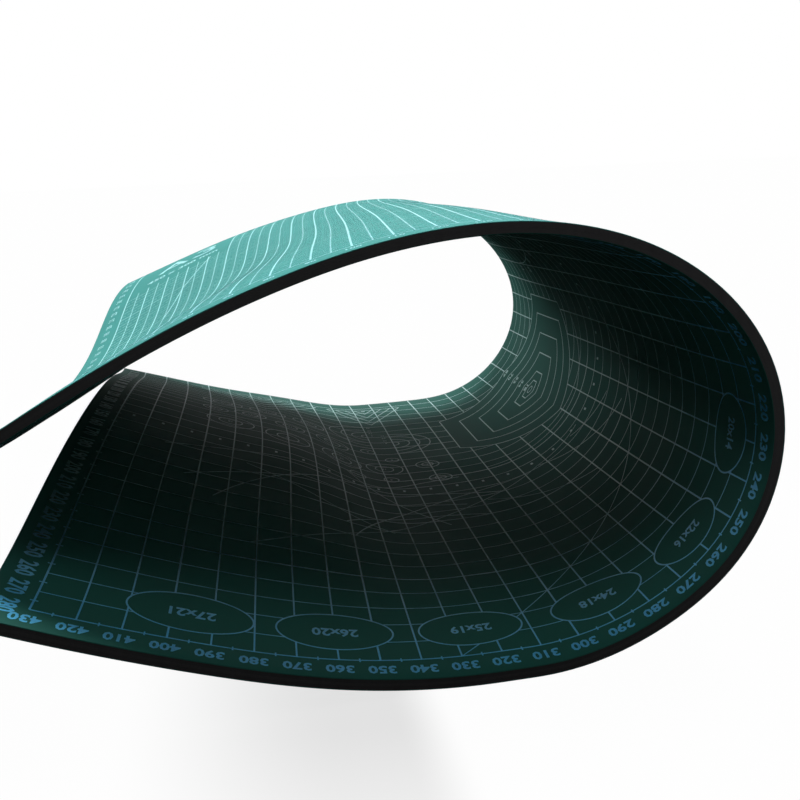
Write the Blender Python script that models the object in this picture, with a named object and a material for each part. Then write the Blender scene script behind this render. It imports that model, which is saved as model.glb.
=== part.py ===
"""Self-healing cutting mat, A3 size, curled into an open loop that rests on its belly.

The mat is laid out flat first, as a stack of glued plies with measuring lines inlaid in
both faces. The flat stack is then bent by two tables of headings, one for each side of the
strip that it rests on. Units are metres, +Z is up, +X runs from the free ends to the nose
of the curl, and +Y runs across the mat.
"""

import bmesh
import bpy
import numpy as np
from mathutils import Matrix

# Size of the sheet
MAT_LENGTH = 0.450
MAT_WIDTH = 0.300

# Thickness of each ply, and of the glue between two plies
FILM_THICKNESS = 0.0004
HEALING_THICKNESS = 0.0005
CORE_THICKNESS = 0.0006
GLUE_LINE = 0.00015

# Printed measuring lines, laid out from the near long edge and the end of the upper flap
PRINT_MARGIN = 0.010
HEAVY_LINE_PITCH = 0.050
HEAVY_LINE_WIDTH = 0.0006
PRINT_FAR_INSET = 0.001
INK_THICKNESS = 0.0001

# The ink lies flush with the film, in a shallow groove with this gap under and beside it
INK_CLEARANCE = 0.0001
INK_SIDE_GAP = 0.00015

# Facet edges of the film that lie within this distance of a groove are left out of the ink
GROOVE_MARGIN = 0.000075

# Longest facet along the bend, and steps that follow the bend inside each facet
FACET_LENGTH = 0.0125
STEPS_PER_FACET = 6

# Level strip that the curl rests on: its start as a share of the length, and how long it is
REST_START_SHARE = 0.72
REST_LENGTH = 0.008
REST_START = REST_START_SHARE * MAT_LENGTH
REST_END = REST_START + REST_LENGTH

# How far the end of the upper flap lies behind the end of the lower flap
END_SIDE_STEP = 0.0285

# Shares of the width at which the bend is given, from the near to the far long edge
ACROSS_SHARES = (0.0, 0.2, 0.5, 0.8, 1.0)

# How far the rest strip lies forward of its near end at most, and the part of it at each share
REST_ADVANCE = 0.0066
ADVANCE_PROFILE = (0.0, 0.30, 0.65, 1.0, 0.95)

# Heading of the mat in degrees along its length: 0 runs towards +X, -90 runs down at the nose
# and -180 runs back along the ground. Each row gives the distance from the end of the upper
# flap, as a share of the length, then the heading at each of the shares of the width. The
# first table runs to the start of the rest strip and the second one starts at its end.
LEVEL_BACK = (-180.0,) * len(ACROSS_SHARES)
UPPER_HEADINGS = (
    (0.00, 31.5, 29.5, 26.5, 24.5, 22.0),
    (0.08, 29.0, 31.5, 30.0, 25.0, 21.0),
    (0.16, 23.5, 27.5, 29.5, 20.5, 16.0),
    (0.25, 13.5, 13.0, 14.0, 10.0, 8.0),
    (0.33, -2.5, -5.0, -7.5, -10.5, -11.5),
    (0.44, -43.5, -47.0, -51.0, -53.0, -56.0),
    (0.55, -107.0, -107.0, -109.5, -112.5, -119.5),
    (0.62, -143.5, -146.5, -150.0, -153.5, -155.5),
    (0.67, -161.0, -167.0, -172.5, -177.0, -176.5),
    (REST_START / MAT_LENGTH, *LEVEL_BACK),
)
LOWER_HEADINGS = (
    (REST_END / MAT_LENGTH, *LEVEL_BACK),
    (0.79, -187.5, -193.0, -209.0, -201.5, -193.0),
    (0.87, -197.0, -197.5, -198.5, -196.5, -194.0),
    (0.93, -200.0, -201.0, -202.0, -199.5, -197.0),
    (1.00, -203.0, -202.5, -201.0, -198.5, -197.0),
)

# Colour in linear red, green and blue, then roughness
GREEN_FILM = ((0.037, 0.270, 0.240), 0.75)
BLACK_HEALING_PLY = ((0.010, 0.010, 0.011), 0.60)
CORE_PLY = ((0.018, 0.018, 0.019), 0.66)
PALE_INK = ((0.190, 0.750, 0.920), 0.55)

SMOOTH_ANGLE = np.radians(35.0)


# Layout of the flat sheet
def heavy_lines(end):
    """Places of the heavy lines between the margin and the end of the print."""
    count = int((end - PRINT_MARGIN) / HEAVY_LINE_PITCH + 1e-6)
    return [PRINT_MARGIN + HEAVY_LINE_PITCH * index for index in range(count + 1)]


def lines_across():
    """Places along the mat of the lines that run across it, with the closing line."""
    closing_line = MAT_LENGTH - PRINT_MARGIN
    return heavy_lines(closing_line - HEAVY_LINE_WIDTH) + [closing_line]


def lines_along():
    """Places across the mat of the lines that run along it."""
    return heavy_lines(MAT_WIDTH - PRINT_FAR_INSET - HEAVY_LINE_WIDTH)


def stations(fixed, longest):
    """Fixed places in order, with more between them so that no gap is over the longest."""
    places = sorted({round(place, 6) for place in fixed})
    result = [places[0]]
    for start, end in zip(places, places[1:]):
        count = int(np.ceil((end - start) / longest - 1e-6))
        result += [start + (end - start) * (step + 1) / count for step in range(count)]
    return np.array(result)


def both_edges(lines, grow):
    """Both edges of each line, with the line grown by the same measure on each side."""
    reach = HEAVY_LINE_WIDTH / 2 + grow
    return [line + side * reach for line in lines for side in (-1, 1)]


def print_far_end(grow):
    """Place across the mat where the lines that run across it end."""
    return MAT_WIDTH - PRINT_FAR_INSET + grow


def stations_along():
    """Places along the mat where its facets meet: ends, grooves and rest strip."""
    fixed = [0.0, REST_START, REST_END, MAT_LENGTH] + both_edges(lines_across(), INK_SIDE_GAP)
    return stations(fixed, FACET_LENGTH)


def stations_across():
    """Places across the mat where its facets meet: long edges and grooves."""
    grooves = both_edges(lines_along(), INK_SIDE_GAP) + [print_far_end(INK_SIDE_GAP)]
    return stations([0.0, MAT_WIDTH] + grooves, HEAVY_LINE_PITCH)


def near_a_line(place, lines, reach):
    """Whether a place lies within reach of one of the lines."""
    return any(abs(place - line) < reach for line in lines)


def on_print(x, y, grow=0.0):
    """Whether a flat point lies on the print, with each line grown on all its sides."""
    reach = HEAVY_LINE_WIDTH / 2 + grow
    first_x, last_x = lines_across()[0] - reach, lines_across()[-1] + reach
    first_y, last_y = lines_along()[0] - reach, print_far_end(grow)
    inside = first_x < x < last_x and first_y < y < last_y
    on_line = near_a_line(x, lines_across(), reach) or near_a_line(y, lines_along(), reach)
    return inside and on_line


# Bending
def smooth_curve(table, at):
    """Smooth curve through the rows of a table, which start with their place."""
    places, values = table[:, 0], table[:, 1:]
    slopes = np.gradient(values, places, axis=0)
    row = np.clip(np.searchsorted(places, at, side="right") - 1, 0, len(places) - 2)
    span = (places[row + 1] - places[row])[:, None]
    t = np.clip((at - places[row])[:, None] / span, 0.0, 1.0)
    start_slope, end_slope = slopes[row] * span, slopes[row + 1] * span
    start_share = 2 * t**3 - 3 * t**2 + 1
    return (
        start_share * values[row]
        + (1 - start_share) * values[row + 1]
        + (t**3 - 2 * t**2 + t) * start_slope
        + (t**3 - t**2) * end_slope
    )


def across_mat(values, share):
    """Smooth blend across the mat of one row of values for each share of the width."""
    terms = len(ACROSS_SHARES)
    return np.vander(share, terms) @ np.linalg.inv(np.vander(ACROSS_SHARES, terms)) @ values


def headings_at(at, share):
    """Headings in radians at distances along the mat, one row for each share across."""
    place = at / MAT_LENGTH
    upper = smooth_curve(np.array(UPPER_HEADINGS), place)
    lower = smooth_curve(np.array(LOWER_HEADINGS), place)
    headings = np.where((at < REST_END)[:, None], upper, lower)
    return np.radians(across_mat(headings.T, share))


def bent_sheet(along, across):
    """Points and unit normals of the bent middle surface at every crossing of stations."""
    share = across / MAT_WIDTH
    inside = (np.arange(STEPS_PER_FACET) + 0.5) / STEPS_PER_FACET
    spans = np.diff(along)
    middles = (along[:-1, None] + spans[:, None] * inside[None, :]).ravel()
    steps = np.repeat(spans / STEPS_PER_FACET, STEPS_PER_FACET)
    heading = headings_at(middles, share)
    start = np.zeros((len(across), 1))
    run_x = np.hstack([start, np.cumsum(np.cos(heading) * steps, axis=1)])[:, ::STEPS_PER_FACET]
    run_z = np.hstack([start, np.cumsum(np.sin(heading) * steps, axis=1)])[:, ::STEPS_PER_FACET]
    rest = int(np.argmin(np.abs(along - REST_END)))
    advance = across_mat(REST_ADVANCE * np.array(ADVANCE_PROFILE)[:, None], share)
    x = run_x - run_x[:, rest : rest + 1] + advance
    z = run_z - run_z[:, rest : rest + 1]
    y = across[:, None] + END_SIDE_STEP * (0.5 - along[None, :] / MAT_LENGTH)
    slope = headings_at(along, share)
    points = np.stack([x, y, z], axis=2)
    normals = np.stack([-np.sin(slope), np.zeros_like(slope), np.cos(slope)], axis=2)
    return points, normals


class Bend:
    """Carries a point of the flat stack to its place in the curl, facet by facet."""

    def __init__(self):
        self.along = stations_along()
        self.across = stations_across()
        self.points, self.normals = bent_sheet(self.along, self.across)

    @staticmethod
    def cell(places, at):
        """Number of the cell that holds a place, and the share of the cell before it."""
        index = int(np.clip(np.searchsorted(places, at, side="right") - 1, 0, len(places) - 2))
        return index, (at - places[index]) / (places[index + 1] - places[index])

    def __call__(self, flat):
        i, s = self.cell(self.along, flat.x)
        j, t = self.cell(self.across, flat.y)
        corners = (
            (j, i, (1 - t) * (1 - s)),
            (j, i + 1, (1 - t) * s),
            (j + 1, i, t * (1 - s)),
            (j + 1, i + 1, t * s),
        )
        point = sum(self.points[row, column] * weight for row, column, weight in corners)
        normal = sum(self.normals[row, column] * weight for row, column, weight in corners)
        return point + normal * flat.z


# Flat pieces
def lift(piece, faces, height):
    """Extrudes the faces by a height, which may be negative."""
    edges = list(dict.fromkeys(edge for face in faces for edge in face.edges))
    region = bmesh.ops.extrude_face_region(piece, geom=faces + edges)
    lifted = [item for item in region["geom"] if isinstance(item, bmesh.types.BMVert)]
    bmesh.ops.translate(piece, verts=lifted, vec=(0.0, 0.0, height))


def flat_slab(along, across, is_solid, bottom, thickness):
    """Closed slab over the solid cells of a grid of stations, laid out flat."""
    slab = bmesh.new()
    corners = {}

    def corner(i, j):
        if (i, j) not in corners:
            corners[i, j] = slab.verts.new((along[i], across[j], bottom))
        return corners[i, j]

    for i in range(len(along) - 1):
        for j in range(len(across) - 1):
            if is_solid((along[i] + along[i + 1]) / 2, (across[j] + across[j + 1]) / 2):
                slab.faces.new((corner(i, j), corner(i, j + 1), corner(i + 1, j + 1)))
                slab.faces.new((corner(i, j), corner(i + 1, j + 1), corner(i + 1, j)))
    lift(slab, slab.faces[:], thickness)
    return slab


def flat_ply(bottom, thickness):
    """One full ply of the stack."""
    return flat_slab(stations_along(), stations_across(), lambda x, y: True, bottom, thickness)


def sink_grooves(film, face_height, depth):
    """Sinks the grooves for the ink into the face of the film at the given height."""
    grooved = []
    for face in film.faces:
        centre = face.calc_center_median()
        on_face = abs(centre.z - face_height) < GLUE_LINE / 2
        if on_face and on_print(centre.x, centre.y, INK_SIDE_GAP):
            grooved.append(face)
    lift(film, grooved, depth)


def flat_print(bottom):
    """Heavy lines of one printed face, joined where they cross into one thin lattice."""
    line_edges = both_edges(lines_across(), 0.0)
    past_groove = HEAVY_LINE_WIDTH / 2 + INK_SIDE_GAP + GROOVE_MARGIN
    facets = [
        place
        for place in stations_along()
        if line_edges[0] < place < line_edges[-1]
        and not near_a_line(place, lines_across(), past_groove)
    ]
    along = np.array(sorted(facets + line_edges))
    across = np.array(both_edges(lines_along(), 0.0) + [print_far_end(0.0)])
    return flat_slab(along, across, on_print, bottom, INK_THICKNESS)


# Finished objects
def material(name, finish):
    """Principled material with a plain colour."""
    colour, roughness = finish
    result = bpy.data.materials.new(name)
    result.use_nodes = True
    result.diffuse_color = (*colour, 1.0)
    shader = result.node_tree.nodes["Principled BSDF"]
    shader.inputs["Base Color"].default_value = (*colour, 1.0)
    shader.inputs["Roughness"].default_value = roughness
    shader.inputs["Metallic"].default_value = 0.0
    return result


def bent_object(name, flat_piece, bend, finish):
    """Bends a flat piece and makes it a named object."""
    bmesh.ops.recalc_face_normals(flat_piece, faces=flat_piece.faces[:])
    bmesh.ops.triangulate(flat_piece, faces=flat_piece.faces[:])
    for vertex in flat_piece.verts:
        vertex.co = bend(vertex.co)
    mesh = bpy.data.meshes.new(name)
    flat_piece.to_mesh(mesh)
    flat_piece.free()
    mesh.shade_smooth()
    mesh.set_sharp_from_angle(angle=SMOOTH_ANGLE)
    mesh.materials.append(material(name, finish))
    result = bpy.data.objects.new(name, mesh)
    bpy.context.scene.collection.objects.link(result)
    return result


def stack_plies():
    """Each ply with the height of its inner side, from the inside of the curl outwards."""
    plies = (
        ("inner_color_film", FILM_THICKNESS, GREEN_FILM),
        ("inner_healing_ply", HEALING_THICKNESS, BLACK_HEALING_PLY),
        ("core_ply", CORE_THICKNESS, CORE_PLY),
        ("outer_healing_ply", HEALING_THICKNESS, BLACK_HEALING_PLY),
        ("outer_color_film", FILM_THICKNESS, GREEN_FILM),
    )
    total = sum(thickness for _, thickness, _ in plies) + GLUE_LINE * (len(plies) - 1)
    height = -total / 2
    for name, thickness, finish in plies:
        yield name, height, thickness, finish
        height += thickness + GLUE_LINE


def stand_on_origin(objects):
    """Moves the whole mat so that the middle of its footprint is at the origin."""
    points = np.array([vertex.co for item in objects for vertex in item.data.vertices])
    low, high = points.min(axis=0), points.max(axis=0)
    shift = Matrix.Translation((-(low[0] + high[0]) / 2, -(low[1] + high[1]) / 2, -low[2]))
    for item in objects:
        item.data.transform(shift)


def build_mat():
    """Builds every piece of the mat."""
    for item in list(bpy.data.objects):
        bpy.data.objects.remove(item, do_unlink=True)
    bend = Bend()
    plies = list(stack_plies())
    flat = {name: flat_ply(height, thickness) for name, height, thickness, _ in plies}
    inner_face = plies[0][1]
    outer_face = plies[-1][1] + plies[-1][2]
    groove_depth = INK_THICKNESS + INK_CLEARANCE
    sink_grooves(flat["inner_color_film"], inner_face, groove_depth)
    sink_grooves(flat["outer_color_film"], outer_face, -groove_depth)
    objects = [bent_object(name, flat[name], bend, finish) for name, _, _, finish in plies]
    inner_print = flat_print(inner_face)
    outer_print = flat_print(outer_face - INK_THICKNESS)
    objects.append(bent_object("inner_grid_print", inner_print, bend, PALE_INK))
    objects.append(bent_object("outer_grid_print", outer_print, bend, PALE_INK))
    stand_on_origin(objects)


build_mat()
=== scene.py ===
"""Self-healing cutting mat, dressed for its picture.

The mat is made again as a fine curled sheet of five plies, with the whole measuring print
on both faces as thin raised ink. Every piece is laid out on the flat sheet, from the end of
the upper flap and from the near long edge, and is then carried to the curl. The plies are
in metres and the print is in millimetres.
"""

import logging
import math
from dataclasses import dataclass, field
from enum import Enum, auto

import bmesh
import bpy
import numpy as np
from mathutils import Matrix, Vector


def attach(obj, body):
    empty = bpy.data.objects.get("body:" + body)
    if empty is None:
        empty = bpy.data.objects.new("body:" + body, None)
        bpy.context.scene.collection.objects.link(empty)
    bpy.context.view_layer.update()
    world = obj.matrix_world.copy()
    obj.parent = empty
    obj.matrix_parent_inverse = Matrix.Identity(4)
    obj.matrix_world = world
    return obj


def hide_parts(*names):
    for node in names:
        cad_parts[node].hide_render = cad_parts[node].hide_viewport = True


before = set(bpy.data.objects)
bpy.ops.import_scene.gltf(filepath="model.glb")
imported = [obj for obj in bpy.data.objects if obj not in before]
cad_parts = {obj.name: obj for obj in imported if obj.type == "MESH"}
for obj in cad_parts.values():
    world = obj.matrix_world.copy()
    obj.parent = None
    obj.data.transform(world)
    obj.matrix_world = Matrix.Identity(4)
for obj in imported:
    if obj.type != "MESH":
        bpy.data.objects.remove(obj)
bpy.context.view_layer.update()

LOG = logging.getLogger("cutting_mat")
BODY = "root"
MM = 0.001
ROOT_3 = math.sqrt(3)
WHITE = (1.0, 1.0, 1.0, 1.0)
SHARP_EDGE = math.radians(40.0)
FULL_TURN = (0.0, 360.0)
# Names of the flat place and of the direction outwards that a mesh keeps for its points
FLAT_PLACE = "flat_place"
OUTWARD = "outward"

Pair = tuple[float, float]
Triple = tuple[float, float, float]
Corners = tuple[int, ...]
Source = bpy.types.Node | bpy.types.NodeSocket

# Heading of the mat in degrees: 0 runs to the nose and -180 runs back along the ground.
# Each row gives the distance from the end of the upper flap, as a share of the length, then
# the heading at each of the shares of the width, from the near to the far long edge. The
# first table runs to the start of the level strip and the second one starts at its end.
REST = (0.324, 0.332)
LENGTH = 0.450
ACROSS_SHARES = (0.0, 0.2, 0.5, 0.8, 1.0)
LEVEL_BACK = (-180.0,) * len(ACROSS_SHARES)
UPPER_HEADINGS = (
    (0.00, 31.5, 29.5, 26.5, 24.5, 22.0),
    (0.08, 29.0, 31.5, 30.0, 25.0, 21.0),
    (0.16, 23.5, 27.5, 29.5, 20.5, 16.0),
    (0.25, 13.5, 13.0, 14.0, 10.0, 8.0),
    (0.33, -2.5, -5.0, -7.5, -10.5, -11.5),
    (0.44, -43.5, -47.0, -51.0, -53.0, -56.0),
    (0.55, -107.0, -107.0, -109.5, -112.5, -119.5),
    (0.62, -143.5, -146.5, -150.0, -153.5, -155.5),
    (0.67, -161.0, -167.0, -172.5, -177.0, -176.5),
    (REST[0] / LENGTH, *LEVEL_BACK),
)
LOWER_HEADINGS = (
    (REST[1] / LENGTH, *LEVEL_BACK),
    (0.79, -187.5, -193.0, -209.0, -201.5, -193.0),
    (0.87, -197.0, -197.5, -198.5, -196.5, -194.0),
    (0.93, -200.0, -201.0, -202.0, -199.5, -197.0),
    (1.00, -203.0, -202.5, -201.0, -198.5, -197.0),
)
# Entries that the last cell of a table takes, and a little more to stay inside it
LAST_CELL = 1.000001


class Face(Enum):
    """The two faces of the mat; the value is the side of the middle surface."""

    INNER = -1
    OUTER = 1


def evenly(length: float, step: float) -> np.ndarray:
    """Places from 0 to a length, one step apart."""
    return np.linspace(0, length, round(length / step) + 1)


def smoothed(rows: tuple[tuple[float, ...], ...], at: np.ndarray) -> np.ndarray:
    """Smooth curve through the rows of a table.

    Args:
        rows: rows of a rising place and the values there.
        at: places to read.

    Returns:
        The curve's values, one row for each place to read.
    """
    table = np.array(rows)
    places, values = table[:, 0], table[:, 1:]
    slopes = np.gradient(values, places, axis=0)
    row = np.clip(np.searchsorted(places, at, side="right") - 1, 0, len(places) - 2)
    span = (places[row + 1] - places[row])[:, None]
    t = np.clip((at - places[row])[:, None] / span, 0.0, 1.0)
    start_share = 2 * t**3 - 3 * t**2 + 1
    bend_in = (t**3 - 2 * t**2 + t) * slopes[row] * span
    bend_out = (t**3 - t**2) * slopes[row + 1] * span
    return start_share * values[row] + (1 - start_share) * values[row + 1] + bend_in + bend_out


def across_mat(values: np.ndarray, share: np.ndarray) -> np.ndarray:
    """Smooth blend across the mat.

    Args:
        values: one row of values for each share of the width.
        share: places across the mat, 0 at the near and 1 at the far edge.

    Returns:
        The blended values, one row for each place across.
    """
    terms = len(ACROSS_SHARES)
    return np.vander(share, terms) @ np.linalg.inv(np.vander(ACROSS_SHARES, terms)) @ values


@dataclass
class CurledSheet:
    """The middle surface of the curled mat, read by distances on the flat sheet."""

    length: float = LENGTH
    width: float = 0.300
    thickness: float = 0.003
    end_side_step: float = 0.0285
    rest_advance: float = 0.0066
    advance_profile: tuple[float, ...] = (0.0, 0.30, 0.65, 1.0, 0.95)
    belly_offset: float = 0.019319
    fine_along: float = 0.0005
    fine_across: float = 0.0025
    grid_along: float = 0.0025
    grid_across: float = 0.005
    points: np.ndarray = field(init=False, repr=False)
    normals: np.ndarray = field(init=False, repr=False)

    def __post_init__(self) -> None:
        """Works out a fine table of the surface once."""
        along = evenly(self.length, self.fine_along)
        across = evenly(self.width, self.fine_across)
        share = across / self.width
        heading = self.heading_at((along[:-1] + along[1:]) / 2, share)
        start = np.zeros((len(across), 1))
        run_x = np.hstack([start, np.cumsum(np.cos(heading) * self.fine_along, axis=1)])
        run_z = np.hstack([start, np.cumsum(np.sin(heading) * self.fine_along, axis=1)])
        rest = round(REST[1] / self.fine_along)
        advance = across_mat(self.rest_advance * np.array(self.advance_profile)[:, None], share)
        x = run_x - run_x[:, rest : rest + 1] + advance + self.belly_offset
        z = run_z - run_z[:, rest : rest + 1] + self.thickness / 2
        y = across[:, None] - self.width / 2
        y = y + self.end_side_step * (0.5 - along[None, :] / self.length)
        slope = self.heading_at(along, share)
        self.points = np.stack([x, y, z], axis=2)
        self.normals = np.stack([-np.sin(slope), np.zeros_like(slope), np.cos(slope)], axis=2)

    def heading_at(self, along: np.ndarray, share: np.ndarray) -> np.ndarray:
        """Headings in radians, one row for each share across the mat.

        Args:
            along: distances from the end of the upper flap.
            share: places across the mat, from 0 to 1.

        Returns:
            Array of headings, shares by distances.
        """
        place = along / self.length
        upper, lower = smoothed(UPPER_HEADINGS, place), smoothed(LOWER_HEADINGS, place)
        headings = np.where((along < REST[1])[:, None], upper, lower)
        return np.radians(across_mat(headings.T, share))

    def place(self, flat: np.ndarray) -> np.ndarray:
        """Carries flat points to the curl.

        Args:
            flat: rows of distance along, distance across and height over the middle surface.

        Returns:
            Rows of x, y and z.
        """
        rows, columns = self.points.shape[:2]
        s = np.clip(flat[:, 0] / self.fine_along, 0, columns - LAST_CELL)
        t = np.clip(flat[:, 1] / self.fine_across, 0, rows - LAST_CELL)
        i, j = s.astype(int), t.astype(int)
        s, t = (s - i)[:, None], (t - j)[:, None]

        def read(table: np.ndarray) -> np.ndarray:
            """Reads a table between its four nearest entries.

            Args:
                table: rows across by columns along.

            Returns:
                One row for each flat point.
            """
            low = table[j, i] * (1 - s) + table[j, i + 1] * s
            high = table[j + 1, i] * (1 - s) + table[j + 1, i + 1] * s
            return low * (1 - t) + high * t

        return read(self.points) + read(self.normals) * flat[:, 2:3]

    def outward(self, flat: np.ndarray, face: Face) -> np.ndarray:
        """Unit directions out of a face at flat points.

        Args:
            flat: rows of distance along, distance across and any height.
            face: face to leave.

        Returns:
            Rows of unit directions.
        """
        lifted = flat.copy()
        lifted[:, 2] += MM
        direction = self.place(lifted) - self.place(flat)
        return face.value * direction / np.linalg.norm(direction, axis=1)[:, None]

    def flat_grid(self, height: float, inset: float = 0.0) -> np.ndarray:
        """Flat points of the mesh that the plies are made of.

        Args:
            height: height over the middle surface.
            inset: how far the grid is drawn in from the edges.

        Returns:
            Distance along, distance across and height, in rows across by columns along.
        """
        along, across = evenly(self.length, self.grid_along), evenly(self.width, self.grid_across)
        grid_v, grid_u = np.meshgrid(across, along, indexing="ij")
        u = inset + grid_u * (1 - 2 * inset / self.length)
        v = inset + grid_v * (1 - 2 * inset / self.width)
        return np.stack([u, v, np.full_like(u, height)], axis=2)


# Node trees and finishes
@dataclass
class NodeTree:
    """Short way to write a node tree."""

    tree: bpy.types.NodeTree

    def add(
        self, kind: str, inputs: dict[str | int, object] | None = None, **settings: object
    ) -> bpy.types.Node:
        """Adds a node, sets it up and joins its inputs.

        Args:
            kind: Blender's name for the node type, which a shader may have without its prefix.
            inputs: by the input's name or number: a value, an output socket to link, or a node
                whose first output is linked.
            settings: properties of the node.

        Returns:
            The new node.
        """
        node = self.tree.nodes.new(kind if "Node" in kind else "ShaderNode" + kind)
        for key, value in settings.items():
            setattr(node, key, value)
        for key, value in (inputs or {}).items():
            source = value.outputs[0] if isinstance(value, bpy.types.Node) else value
            if isinstance(source, bpy.types.NodeSocket):
                self.tree.links.new(source, node.inputs[key])
            else:
                node.inputs[key].default_value = source
        return node


def shade(colour: Triple, factor: float) -> Triple:
    """A colour made lighter or darker by a factor."""
    return tuple(min(1.0, channel * factor) for channel in colour)


class MaterialNodes(NodeTree):
    """Node tree of one material, with the steps that the finishes share."""

    noise_range: Pair = (0.3, 0.7)

    def __init__(self, name: str) -> None:
        """Starts a material with an empty tree.

        Args:
            name: name of the material.
        """
        self.material = bpy.data.materials.new(name)
        self.material.use_nodes = True
        super().__init__(self.material.node_tree)
        self.tree.nodes.clear()

    def noise(
        self, place: Source, scale: float, detail: float, roughness: float = 0.5
    ) -> bpy.types.Node:
        """Noise over a place."""
        inputs = {"Vector": place, "Scale": scale, "Detail": detail, "Roughness": roughness}
        return self.add("TexNoise", inputs)

    def blend(self, share: float, first: Source, second: Source) -> bpy.types.Node:
        """Two noises in one, with the share that the second one takes."""
        return self.add("Mix", {"Factor": share, "A": first, "B": second}, data_type="FLOAT")

    def ramp(self, factor: Source, stops: list[tuple[float, Triple]]) -> bpy.types.Node:
        """Colour ramp over a factor.

        Args:
            factor: what drives the ramp.
            stops: two pairs of position and linear colour.

        Returns:
            The ramp.
        """
        node = self.add("ValToRGB", {"Fac": factor})
        for element, (position, colour) in zip(node.color_ramp.elements, stops):
            element.position = position
            element.color = (*colour, 1.0)
        return node

    def tones(self, factor: Source, stops: Pair, colour: Triple, shades: Pair) -> bpy.types.Node:
        """Ramp from a darker to a lighter shade of one colour."""
        return self.ramp(factor, [(stop, shade(colour, by)) for stop, by in zip(stops, shades)])

    def spread(self, noise: Source, ends: Pair) -> bpy.types.Node:
        """Value that follows a noise from one end to the other."""
        reach = {"From Min": self.noise_range[0], "From Max": self.noise_range[1]}
        return self.add("MapRange", {"Value": noise, **reach, "To Min": ends[0], "To Max": ends[1]})

    def plastic(
        self, colour: Source, roughness: Source, height: Source, relief: Pair, gloss: float = 0.5
    ) -> bpy.types.Material:
        """Ends the tree in a plastic surface.

        Args:
            colour: its colour.
            roughness: its roughness.
            height: what its relief follows.
            relief: strength of the relief and its depth in metres.
            gloss: specular level.

        Returns:
            The material.
        """
        bump = self.add("Bump", {"Height": height, "Strength": relief[0], "Distance": relief[1]})
        surface = {"Base Color": colour, "Roughness": roughness, "Normal": bump}
        return self.finish(self.add("BsdfPrincipled", {**surface, "Specular IOR Level": gloss}))

    def finish(self, shader: bpy.types.Node) -> bpy.types.Material:
        """Joins the shader to the output and hands over the material."""
        self.add("OutputMaterial", {"Surface": shader})
        return self.material


@dataclass(frozen=True)
class FilmFinish:
    """Green PVC film with a fine matt grain; each noise is its scale, detail and roughness."""

    name: str
    colour: Triple
    shades: Pair = (0.86, 1.14)
    stops: Pair = (0.32, 0.68)
    roughness: Pair = (0.70, 0.82)
    grain: Triple = (2600.0, 3.0, 0.6)
    mottle: Triple = (38.0, 4.0, 0.55)
    mottle_share: float = 0.45
    relief: Pair = (0.55, 0.00004)
    gloss: float = 0.20

    def build(self) -> bpy.types.Material:
        """Makes the material, in distances on the flat sheet."""
        m = MaterialNodes(self.name)
        place = m.add("UVMap", uv_map=FLAT_PLACE)
        grain = m.noise(place, *self.grain)
        mixed = m.blend(self.mottle_share, grain, m.noise(place, *self.mottle))
        tone = m.tones(mixed, self.stops, self.colour, self.shades)
        return m.plastic(tone, m.spread(mixed, self.roughness), grain, self.relief, self.gloss)


@dataclass(frozen=True)
class CutEdgeFinish:
    """Black PVC with the faint drag marks of the blade that cut the sheet."""

    name: str
    colour: Triple
    roughness: Pair
    shades: Pair = (0.75, 1.35)
    stops: Pair = (0.35, 0.65)
    drag_stretch: Triple = (900.0, 900.0, 60.0)
    drag: Pair = (1.0, 3.0)
    grain: Pair = (2200.0, 2.0)
    grain_share: float = 0.5
    relief: Pair = (0.5, 0.00005)
    gloss: float = 0.3

    def build(self) -> bpy.types.Material:
        """Makes the material."""
        m = MaterialNodes(self.name)
        place = m.add("TexCoord").outputs["Object"]
        stretched = m.add("Mapping", {"Vector": place, "Scale": self.drag_stretch})
        drag = m.noise(stretched, *self.drag)
        mixed = m.blend(self.grain_share, drag, m.noise(place, *self.grain))
        tone = m.tones(mixed, self.stops, self.colour, self.shades)
        return m.plastic(tone, m.spread(drag, self.roughness), mixed, self.relief, self.gloss)


@dataclass(frozen=True)
class InkFinish:
    """Light screen ink, a little uneven as it is printed, with painted light across the mat: a
    bluer painted tint at the near edge and a paler, greyer painted sheen deeper in.
    """

    name: str
    near_colour: Triple
    far_colour: Triple
    fade: Pair = (-0.150, -0.075)
    shades: Pair = (0.82, 1.12)
    stops: Pair = (0.34, 0.60)
    roughness: Pair = (0.48, 0.62)
    speckle: Triple = (1800.0, 3.0, 0.7)
    patches: Pair = (60.0, 2.0)
    patch_share: float = 0.4
    relief: Pair = (0.3, 0.00002)

    def build(self) -> bpy.types.Material:
        """Makes the material."""
        m = MaterialNodes(self.name)
        place = m.add("TexCoord").outputs["Object"]
        speckle = m.noise(place, *self.speckle)
        mixed = m.blend(self.patch_share, speckle, m.noise(place, *self.patches))
        near = m.tones(mixed, self.stops, self.near_colour, self.shades)
        far = m.tones(mixed, self.stops, self.far_colour, self.shades)
        # Painted light: the colour runs from the bluer near-edge tint to the paler painted sheen
        # across the mat.
        across = m.add("SeparateXYZ", {"Vector": place}).outputs["Y"]
        start, end = self.fade
        painted_light_mix = m.add("MapRange", {"Value": across, "From Min": start, "From Max": end})
        tone = m.add("MixRGB", {"Fac": painted_light_mix, "Color1": near, "Color2": far})
        return m.plastic(tone, m.spread(speckle, self.roughness), speckle, self.relief)


# Meshes
def add_object(name: str, data: bpy.types.ID) -> bpy.types.Object:
    """Object at the origin.

    Args:
        name: name of the object.
        data: mesh, words, lamp or camera that it shows.

    Returns:
        The object, linked to the scene.
    """
    result = bpy.data.objects.new(name, data)
    bpy.context.scene.collection.objects.link(result)
    return result


def new_object(name: str, points: np.ndarray, faces: list[Corners]) -> bpy.types.Object:
    """Mesh object at the origin.

    Args:
        name: name of the object and its mesh.
        points: rows of x, y and z.
        faces: corner numbers of each face.

    Returns:
        The object, linked to the scene.
    """
    mesh = bpy.data.meshes.new(name)
    mesh.from_pydata(points.tolist(), [], faces)
    return add_object(name, mesh)


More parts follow.
